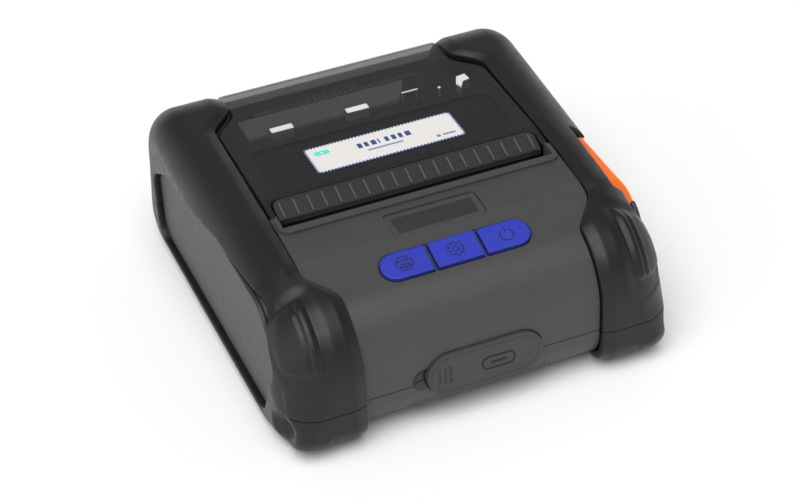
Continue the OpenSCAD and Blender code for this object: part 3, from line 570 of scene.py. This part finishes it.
def bumper_section(p, n, rim, height):
    """Points (x, y, z) across the ring: inner wall, step band, skin, window rim, outer wall.

    p is a place on the outline, n its outward normal, rim the nearest place on the window.
    """
    def at(x, depth):
        q = p - depth * n
        return np.array([x, q[0], q[1]])

    def edge(depth):
        q = p - depth * n
        return inner_edge(q[0]) + GAP

    x_in = edge(0)
    way = p + (rim - p) * (np.linspace(0, 1, SECTION_STEPS) ** 2)[:, None]
    path = np.column_stack([height(way), way])
    start = at(x_in + BAND_W + 0.7, 0.0)
    skin = resample(np.concatenate([[start], path[path[:, 0] > start[0]]]), SKIN_STEPS)
    trim = skin[:-1][np.linalg.norm(skin[:-1] - skin[-1], axis=1) > RIM_R]
    end = skin[-1]
    rim_curve = bezier(trim[-1], end, end - np.array([RIM_R, 0, 0]), 6)
    wall_out = resample([rim_curve[-1], np.array([RING_INNER_X, end[1], end[2]])], 4)[1:]
    foot = at(edge(WALL_DEPTH), WALL_DEPTH)
    lip = at(edge(BAND_DROP + 0.5), BAND_DROP + 0.5)
    wall_in = resample([foot, lip], 4)
    lip_curve = bezier(lip, at(x_in, BAND_DROP), at(x_in + 0.5, BAND_DROP * 0.9), 4)[1:]
    band = bezier(lip_curve[-1], at(x_in + BAND_W * 0.9, 0.15), skin[0], 6)[1:]
    body = resample(np.concatenate([skin[:1], trim]), SKIN_POINTS)[1:]
    return np.concatenate([wall_in, lip_curve, band, body, rim_curve[1:], wall_out])


def bumper_rows():
    """Sections round the whole outline, as a table of points."""
    points, normals, edges = chain_outline(BUMPER_DISCS, OUTLINE_STEP)
    reach = int(BLEND_LENGTH / OUTLINE_STEP)
    soft = blur_ring(normals, reach)
    soft /= np.linalg.norm(soft, axis=1)[:, None]
    edges = blur_ring(edges[:, None], 3 * reach)[:, 0]
    window = chain_outline(WINDOW_DISCS, OUTLINE_STEP)[0]

    def height(q):
        return skin_height(q, points, normals, edges)

    return np.array([bumper_section(p, n, nearest_on(window, p), height)
                     for p, n in zip(points, soft)])


def raise_pads(rows):
    """Moves the skin outward along its own normal where a pad stands."""
    along = np.roll(rows, -1, 0) - np.roll(rows, 1, 0)
    across = np.zeros_like(rows)
    across[:, 1:-1] = rows[:, 2:] - rows[:, :-2]
    normal = np.cross(across, along)
    normal /= np.maximum(np.linalg.norm(normal, axis=2), 1e-9)[:, :, None]
    if normal[:, SKIN_PROBE, 0].mean() < 0:
        normal = -normal
    height = np.array([[pad_height(p) for p in row] for row in rows])
    height[:, :WALL_POINTS] = 0
    height[:, -RIM_POINTS:] = 0
    height[:, -RIM_POINTS - PAD_FADE:-RIM_POINTS] *= ease(np.linspace(1, 0, PAD_FADE))
    raised = rows + normal * height[:, :, None]
    raised[:, :, 0] = np.minimum(raised[:, :, 0], half_w)
    raised[:, :, 1] = np.maximum(raised[:, :, 1], -half_d)
    return raised


bumper_grid = raise_pads(bumper_rows())


def notch_cutter():
    """Rounded block that takes the lever's notch out of the right bumper."""
    lo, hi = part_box("latch_lever")
    gap = NOTCH_GAP * MM
    bm = bmesh.new()
    bmesh.ops.create_cube(bm, size=1.0)
    low = Vector((lo.x - gap, lo.y - gap, lo.z - gap))
    high = Vector((half_w * MM + 0.02, hi.y + gap, hi.z + 0.02))
    for v in bm.verts:
        v.co = Vector(low[i] + (v.co[i] + 0.5) * (high[i] - low[i]) for i in range(3))
    soften(bm, NOTCH_R * MM, segments=4)
    obj = object_from(bm, "notch_cutter")
    obj.hide_render = True
    return obj


def cut_with(obj, cutter):
    """Applies a boolean difference and removes the cutter."""
    mod = obj.modifiers.new("cut", "BOOLEAN")
    mod.object = cutter
    mod.solver = "EXACT"
    bpy.context.view_layer.update()
    depsgraph = bpy.context.evaluated_depsgraph_get()
    mesh = bpy.data.meshes.new_from_object(obj.evaluated_get(depsgraph))
    obj.modifiers.clear()
    obj.data = mesh
    bpy.data.objects.remove(cutter)


def bumper(side, upper):
    """One of the four bumper mouldings: its half of the ring, cut at the parting line."""
    bm = bmesh.new()
    flip = np.array([side, 1, 1])
    verts = [[bm.verts.new((p * flip * MM).tolist()) for p in row] for row in bumper_grid]
    grid_faces(bm, verts, wrap_u=True, wrap_v=True)
    level = (split_z + (PARTING_GAP / 2 if upper else -PARTING_GAP / 2)) * MM
    bmesh.ops.bisect_plane(bm, geom=bm.verts[:] + bm.edges[:] + bm.faces[:], dist=1e-7,
                           plane_co=(0, 0, level), plane_no=(0, 0, 1),
                           clear_inner=upper, clear_outer=not upper)
    bmesh.ops.holes_fill(bm, edges=[e for e in bm.edges if e.is_boundary], sides=0)
    name = "bumper_{}_{}".format("upper" if upper else "lower", "right" if side > 0 else "left")
    obj = object_from(bm, name + "_skin", SKIN_SHARP)
    if upper and side > 0:
        cut_with(obj, notch_cutter())
        obj.data.shade_smooth()
        obj.data.set_sharp_from_angle(angle=math.radians(SKIN_SHARP))
    finish_piece(obj, "case", bumper_mat, [name])


for side in (-1, 1):
    for upper in (False, True):
        bumper(side, upper)


# ---------------------------------------------------------------- case, lid and panels

def slice_at(bm, axis, level):
    """Cuts the mesh at a level (mm) along an axis without removing anything."""
    co, no = Vector(), Vector()
    co[axis], no[axis] = level * MM, 1
    bmesh.ops.bisect_plane(bm, geom=bm.verts[:] + bm.edges[:] + bm.faces[:], dist=1e-7,
                           plane_co=co, plane_no=no)


def paint_recess(bm):
    """The sunk part of the lid's top takes the second material."""
    least, most = 0.15 * MM, 0.5 * MM
    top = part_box("lid")[1].z
    for face in bm.faces:
        if face.normal.z > 0.9 and least < top - face.calc_center_median().z < most:
            face.material_index = 1


def paint_ridge_highlights(bm):
    """The tops of the strip's narrow cross ridges take the second, lighter material: a painted
    highlight where the ridges catch the light.
    """
    ridge_w = 0.7 * MM
    for face in bm.faces:
        xs = [v.co.x for v in face.verts]
        if face.normal.z > 0.3 and max(xs) - min(xs) < ridge_w:
            face.material_index = 1


def paint_screen(bm):
    """The visible area of the display, inside its border, takes the second material."""
    side, front, back = 1.9, 1.9, 2.0
    lo, hi = (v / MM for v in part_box("display_window"))
    x0, x1, y0, y1 = lo.x + side, hi.x - side, lo.y + front, hi.y - back
    for axis, level in ((0, x0), (0, x1), (1, y0), (1, y1)):
        slice_at(bm, axis, level)
    for face in bm.faces:
        c = face.calc_center_median() / MM
        if face.normal.z > 0.8 and x0 < c.x < x1 and y0 < c.y < y1:
            face.material_index = 1


refined("upper_shell", "upper_case", case_mat, 0.3 * MM, 3)
refined("lower_shell", "lower_case", case_mat, 0.3 * MM, 2)
refined("battery_door", "battery_hatch", case_mat, 0.3 * MM)
refined("side_panel_left", "side_plate_left", panel_mat, 0.5 * MM, 3)
refined("side_panel_right", "side_plate_right", panel_mat, 0.5 * MM, 3)
refined("lid", "lid_cover", [lid_mat, recess_mat], 0.3 * MM, 2, paint=paint_recess)
refined("lid_frame", "lid_inner", inner_mat, 0.2 * MM)
# the strip's ridge tops carry a painted highlight
refined("exit_strip", "exit_grip", [strip_mat, ridge_highlight_mat], 0.12 * MM,
        paint=paint_ridge_highlights)
refined("chassis", "bay_frame", inner_mat, 0.2 * MM)
refined("latch_lever", "release_lever", latch_mat, 0.6 * MM, 3)
refined("port_cover", "port_flap_cover", cover_mat, 0.5 * MM, 3)
for key in ("print", "feed", "power"):
    refined("button_" + key, "key_cap_" + key, key_mat, 0.5 * MM, 4)
refined("display_window", "display_glass", [glass_mat, screen_mat], 0.2 * MM,
        paint=paint_screen)

# CAD nodes that keep their own shape.
PLAIN = ((inner_mat, "guide_left guide_right media_sensor buzzer"),
         (rail_mat, "paper_rail"),
         (nylon_mat, "paper_clips paper_wire paper_hook platen_gear idler_gear guide_pinion"
                     " key_switches"),
         (steel_mat, "lid_hinge_pin lid_spring platen_shaft idler_axle head_springs head_bracket"
                     " tear_bar latch_shaft latch_hooks latch_spring usb_socket case_screws"),
         (roller_mat, "platen_roller"),
         (foot_mat, "rubber_feet"),
         (brass_mat, "platen_bushes motor_pinion"),
         (can_mat, "motor radio_module"),
         (alu_mat, "heat_sink"),
         (ceramic_mat, "print_head"),
         (glass_mat, "display_module"),
         (board_mat, "keypad_board main_board port_board"),
         (battery_mat, "battery_pack"))
for mat, names in PLAIN:
    for name in names.split():
        nodes[name].data.materials.clear()
        nodes[name].data.materials.append(mat)


# ---------------------------------------------------------------- label, key marks, port cover

def zigzag(outline, pitch, depth):
    """The outline walked at half-pitch steps, every second point drawn in by depth."""
    ring = np.array(outline + outline[:1], float)
    count = 2 * round(np.linalg.norm(np.diff(ring, axis=0), axis=1).sum() / pitch)
    pts = resample(ring, count + 1)[:-1]
    ahead = np.roll(pts, -1, 0) - np.roll(pts, 1, 0)
    inward = np.stack([-ahead[:, 1], ahead[:, 0]], 1) / np.linalg.norm(ahead, axis=1)[:, None]
    return [tuple(p + inward[i] * (depth if i % 2 else 0)) for i, p in enumerate(pts)]


def label():
    """Sample label under the lid's top: blue zigzag border and generic printed marks."""
    lo, hi = (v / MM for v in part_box("lid_label"))
    cx, cy = (lo.x + hi.x) / 2, (lo.y + hi.y) / 2
    half_x, half_y = (hi.x - lo.x) / 2, (hi.y - lo.y) / 2
    base_t, face_t, ink_t = 0.07, 0.05, 0.02

    def level(z):
        return Matrix.Translation(Vector((cx, cy, lo.z + z)) * MM)

    corner_r, inset, teeth_pitch, teeth_depth = 1.0, 0.1, 1.15, 0.85
    edge = rounded_rect(-half_x, half_x, -half_y, half_y, corner_r)
    face = rounded_rect(-half_x + inset, half_x - inset, -half_y + inset, half_y - inset, corner_r)
    bar_widths = (1.5, 1.3, 1.6, 0.5, 1.3, 1.4, 1.3, 1.8)
    bar_height, bar_y, first_x, pitch = 2.6, 0.2, -8.6, 2.3
    bars = []
    for i, width in enumerate(bar_widths):
        x = first_x + i * pitch
        bars.append(rounded_rect(x, x + width, bar_y, bar_y + bar_height, 0.2, 3))
    blob = rounded_rect(-22.6, -17.4, 2.0, 4.4, 1.15)
    hole = rounded_rect(-20.4, -19.6, 2.7, 3.7, 0.35)
    line = [rounded_rect(-6.4, 5.6, -2.2, -1.5, 0.2, 3)]
    corner = [arc(16.6, -4.2, 0.7, 0, 345, 18), rounded_rect(18, 22.4, -4.6, -3.8, 0.3, 3)]
    pieces = (("label_border", [edge], base_t, 0, ink_blue),
              ("label_face", [zigzag(face, teeth_pitch, teeth_depth)], face_t, base_t, paper_mat),
              ("label_bars", bars, ink_t, base_t + face_t, ink_blue),
              ("label_blob", [blob], ink_t / 2, base_t + face_t, ink_teal),
              ("label_blob_centre", [hole], ink_t, base_t + face_t, paper_mat),
              ("label_lines", line + corner, ink_t, base_t + face_t, ink_grey))
    for name, outlines, thickness, z, mat in pieces:
        obj = plate(name, outlines, thickness, level(z))
        finish_piece(obj, "lid", mat, ["lid_label"] if name == "label_border" else ())


KEY_TILT = 16.2             # slope of the caps' tops, degrees
LINE_W = 0.34               # of the printer mark; the other marks differ a little
GEAR_TEETH = 8
MARK_T = 0.03               # thickness of the marks


def key_marks():
    """Thin line marks on the three caps: printer, gear and power."""
    tilt = math.radians(KEY_TILT)
    normal = Vector((0, -math.sin(tilt), math.cos(tilt)))
    uphill = Vector((0, math.cos(tilt), math.sin(tilt)))
    gear = []
    for i in range(GEAR_TEETH):
        for a, r in ((-0.5, 2.05), (-0.3, 2.65), (0.3, 2.65), (0.5, 2.05)):
            turn = (i + a * 0.62) * 2 * math.pi / GEAR_TEETH
            gear.append((r * math.cos(turn), r * math.sin(turn)))
    marks = {"print": (ribbon(rounded_rect(-2.6, 2.6, -1.2, 1.1, 0.4, 4), LINE_W)
                       + ribbon([(-1.6, 1.3), (-1.6, 2.5), (1.6, 2.5), (1.6, 1.3)], LINE_W, False)
                       + ribbon(rounded_rect(-1.6, 1.6, -2.5, -0.3, 0.2, 3), LINE_W)
                       + ribbon([(-0.9, -1.1), (0.9, -1.1)], 0.28, False)
                       + ribbon([(-0.9, -1.8), (0.9, -1.8)], 0.28, False)),
             "feed": ribbon(gear, 0.36) + ribbon(arc(0, 0, 0.95, 0, 345, 24), 0.36),
             "power": (ribbon(arc(0, -0.2, 2.1, -235, 55, 40), 0.38, False)
                       + ribbon([(0, 0.5), (0, 2.7)], 0.38, False))}
    for key, outlines in marks.items():
        node = nodes["button_" + key]
        points = [v.co for v in node.data.vertices]
        top = max(normal.dot(p) for p in points)
        rows = [uphill.dot(p) for p in points]
        xs = [p.x for p in points]
        origin = (Vector(((min(xs) + max(xs)) / 2, 0, 0)) + normal * top
                  + uphill * (min(rows) + max(rows)) / 2)
        place = Matrix.Translation(origin) @ Matrix.Rotation(tilt, 4, "X")
        obj = plate("key_mark_" + key, outlines, MARK_T, place)
        finish_piece(obj, node["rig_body"], key_ink_mat)


def port_marks():
    """Raised rim and a plain connector outline on the port cover."""
    lo, hi = (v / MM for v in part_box("port_cover"))
    half_x, half_z = (hi.x - lo.x) / 2, (hi.z - lo.z) / 2
    place = (Matrix.Translation(Vector(((lo.x + hi.x) / 2, lo.y, (lo.z + hi.z) / 2)) * MM)
             @ Matrix.Rotation(math.radians(90), 4, "X"))
    inset = 1.3
    rim = rounded_rect(-half_x + inset, half_x - inset, -half_z + inset, half_z - inset,
                       half_z - inset - 0.1, 20)
    mark = (ribbon(rounded_rect(-1.2, 9.4, -2.2, 2.2, 2.1, 10), 0.5)
            + ribbon([(1.6, 0), (6.6, 0)], 0.6, False))
    finish_piece(plate("port_rim", ribbon(rim, 0.5), 0.12, place), "port_flap", cover_mat)
    finish_piece(plate("port_mark", mark, 0.1, place), "port_flap", inner_mat)


label()
key_marks()
port_marks()


# ---------------------------------------------------------------- stage

CAMERA_LENS = 98.1
CAMERA_PLACE = (-0.2007, -0.5222, 0.4324)
CAMERA_FORWARD = (0.2873, 0.7486, -0.5976)
CAMERA_ROLL = -3.05
FLOOR_HALF = 6.0
FLOOR_DROP = 0.0002         # keeps the floor off the feet
SKY_HORIZON, SKY_TOP = 0.95, 0.3


def floor():
    """Plain pale floor."""
    bm = bmesh.new()
    bmesh.ops.create_grid(bm, x_segments=1, y_segments=1, size=FLOOR_HALF)
    obj = object_from(bm, "floor")
    ground = Mat("floor_paint", (0.95, 0.95, 0.95, 1), 0.6)
    ground.tint(ground.noise(0.3), 0.01)
    obj.data.materials.append(ground.mat)
    obj.location.z = -FLOOR_DROP


def soft_light(name, direction, angle, strength):
    """A wide soft light that shines from the given direction."""
    light = bpy.data.lights.new(name, "SUN")
    light.angle = math.radians(angle)
    light.energy = strength
    obj = bpy.data.objects.new(name, light)
    bpy.context.scene.collection.objects.link(obj)
    obj.rotation_mode = "QUATERNION"
    obj.rotation_quaternion = (-Vector(direction)).to_track_quat("-Z", "Y")


def camera():
    """The viewpoint: a long lens from the front left, above, rolled a little."""
    data = bpy.data.cameras.new("camera")
    data.lens = CAMERA_LENS
    data.sensor_width = 36.0
    obj = bpy.data.objects.new("camera", data)
    bpy.context.scene.collection.objects.link(obj)
    obj.location = CAMERA_PLACE
    forward = Vector(CAMERA_FORWARD)
    roll = math.radians(CAMERA_ROLL)
    right = forward.cross(Vector((0, 0, 1))).normalized()
    up = right.cross(forward)
    right, up = (right * math.cos(roll) + up * math.sin(roll),
                 up * math.cos(roll) - right * math.sin(roll))
    turn = Matrix((right, up, -forward)).transposed()
    obj.rotation_mode = "QUATERNION"
    obj.rotation_quaternion = turn.to_quaternion()
    bpy.context.scene.camera = obj


def world():
    """Pale studio: bright round the horizon, dimmer overhead."""
    sky = bpy.data.worlds.new("studio")
    sky.use_nodes = True
    tree = sky.node_tree
    coords = tree.nodes.new("ShaderNodeTexCoord")
    split = tree.nodes.new("ShaderNodeSeparateXYZ")
    ramp = tree.nodes.new("ShaderNodeMapRange")
    ramp.interpolation_type = "SMOOTHSTEP"
    ramp.inputs["From Min"].default_value = 0.05
    ramp.inputs["From Max"].default_value = 0.55
    ramp.inputs["To Min"].default_value = SKY_HORIZON
    ramp.inputs["To Max"].default_value = SKY_TOP
    tree.links.new(coords.outputs["Generated"], split.inputs["Vector"])
    tree.links.new(split.outputs["Z"], ramp.inputs["Value"])
    back = tree.nodes["Background"]
    back.inputs["Color"].default_value = (1, 1, 1, 1)
    tree.links.new(ramp.outputs["Result"], back.inputs["Strength"])
    bpy.context.scene.world = sky


floor()
world()
soft_light("key_light", (-0.25, -0.35, 1.0), 55, 2.5)
soft_light("left_light", (-1, -0.2, 0.35), 40, 0.35)
camera()
bpy.context.scene.view_settings.view_transform = "Standard"
